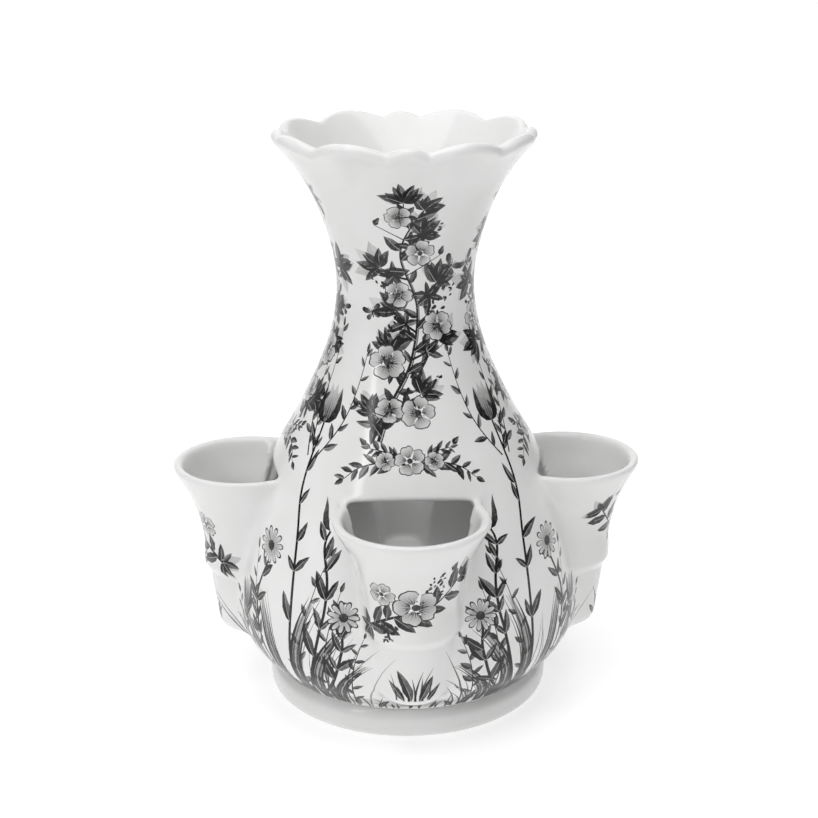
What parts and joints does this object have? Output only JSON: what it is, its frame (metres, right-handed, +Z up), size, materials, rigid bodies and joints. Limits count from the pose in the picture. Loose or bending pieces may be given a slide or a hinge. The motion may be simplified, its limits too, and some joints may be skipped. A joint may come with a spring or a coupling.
{
  "type": "tulipiere",
  "caption": "Glazed earthenware tulipiere: pear-shaped belly on a rounded foot ring, trumpet neck with a scalloped lip, and four flared flower pockets set round the belly.",
  "frame": {"origin": "centre of the foot ring on the surface that the pot stands on", "axes": "+Z up along the pot's axis, -Y towards the front pocket"},
  "size_m": [0.2482, 0.2482, 0.3018],
  "materials": {
    "white_glaze": "glossy white tin-type glaze with a hand-painted black and grey design",
    "bisque_foot": "glossy clear glaze over pale clay"
  },
  "bodies": {
    "root": {"foot_ring": "white_glaze", "base_floor": "bisque_foot", "belly": "white_glaze", "neck": "white_glaze", "rim": "white_glaze", "pocket_front_cup": "white_glaze", "pocket_front_boot": "white_glaze", "pocket_right_cup": "white_glaze", "pocket_right_boot": "white_glaze", "pocket_back_cup": "white_glaze", "pocket_back_boot": "white_glaze", "pocket_left_cup": "white_glaze", "pocket_left_boot": "white_glaze"}
  },
  "joints": []
}
